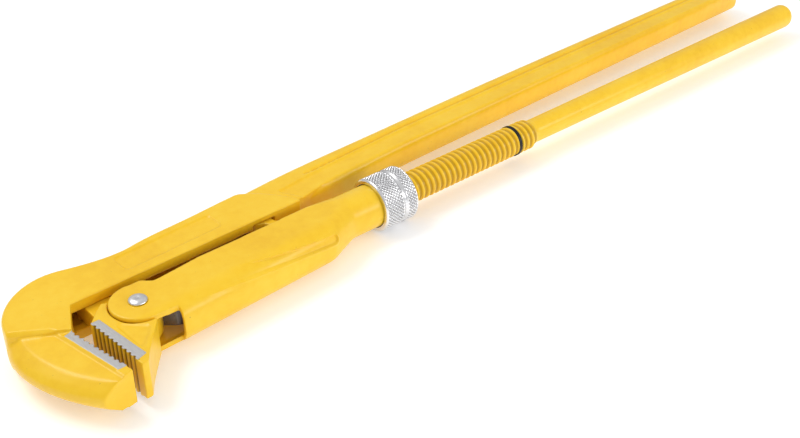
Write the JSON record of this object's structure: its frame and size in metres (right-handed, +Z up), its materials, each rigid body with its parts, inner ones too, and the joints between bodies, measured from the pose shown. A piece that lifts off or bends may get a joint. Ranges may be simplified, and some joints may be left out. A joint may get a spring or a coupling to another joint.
{
  "type": "pipe wrench",
  "caption": "Swedish-pattern pipe wrench with 90 degree jaws: hooked main lever, round lower leg, sliding channel sleeve with a riveted jaw, knurled adjusting nut on a thread.",
  "frame": {"origin": "centre of the tool's footprint, on the bench it lies on", "axes": "+X along the lower leg from the jaws to the handle ends, +Y from the lower leg to the main lever, +Z up from the bench"},
  "size_m": [0.75, 0.1344, 0.0388],
  "materials": {
    "lever_paint": "glossy yellow enamel over forging skin",
    "leg_paint": "glossy yellow enamel, thin over the thread",
    "sleeve_paint": "glossy yellow enamel over pressed steel",
    "jaw_paint": "yellow enamel, bare ground strips beside the teeth",
    "nut_plating": "bright zinc, diamond knurled",
    "rivet_steel": "bright, headed cold",
    "ring_black": "blackened spring steel",
    "spring_steel": "blued spring steel"
  },
  "bodies": {
    "lever": {"main_lever": "lever_paint"},
    "leg": {"lower_leg": "leg_paint", "stop_ring": "ring_black"},
    "slide": {"sleeve": "sleeve_paint", "jaw_rivet": "rivet_steel", "leaf_spring": "spring_steel"},
    "nut": {"adjusting_nut": "nut_plating", "nut_retaining_ring": "spring_steel"},
    "jaw": {"movable_jaw": "jaw_paint"}
  },
  "joints": [
    {"name": "leg_swing", "type": "hinge", "parent": "lever", "child": "leg", "pos_m": [-0.1876, 0.0183, 0.01937], "axis": [0, 0, 1], "range_deg": [-1.2, 1]},
    {"name": "sleeve_slide", "type": "slide", "parent": "leg", "child": "slide", "axis": [1, 0, 0], "range_m": [0, 0.106]},
    {"name": "nut_spin", "type": "hinge", "parent": "slide", "child": "nut", "pos_m": [-0.09698, -0.00795, 0.01937], "axis": [1, 0, 0], "range_deg": [-20, 7660]},
    {"name": "jaw_pivot", "type": "hinge", "parent": "slide", "child": "jaw", "pos_m": [-0.29761, -0.01545, 0.01937], "axis": [0, 0, 1], "range_deg": [-7.6, 9.1]}
  ],
  "couplings": [
    {"joint": "nut_spin", "follows": "sleeve_slide", "rad_per_m": 1256.6},
    {"joint": "jaw_pivot", "follows": "leg_swing", "ratio": -7.29}
  ]
}
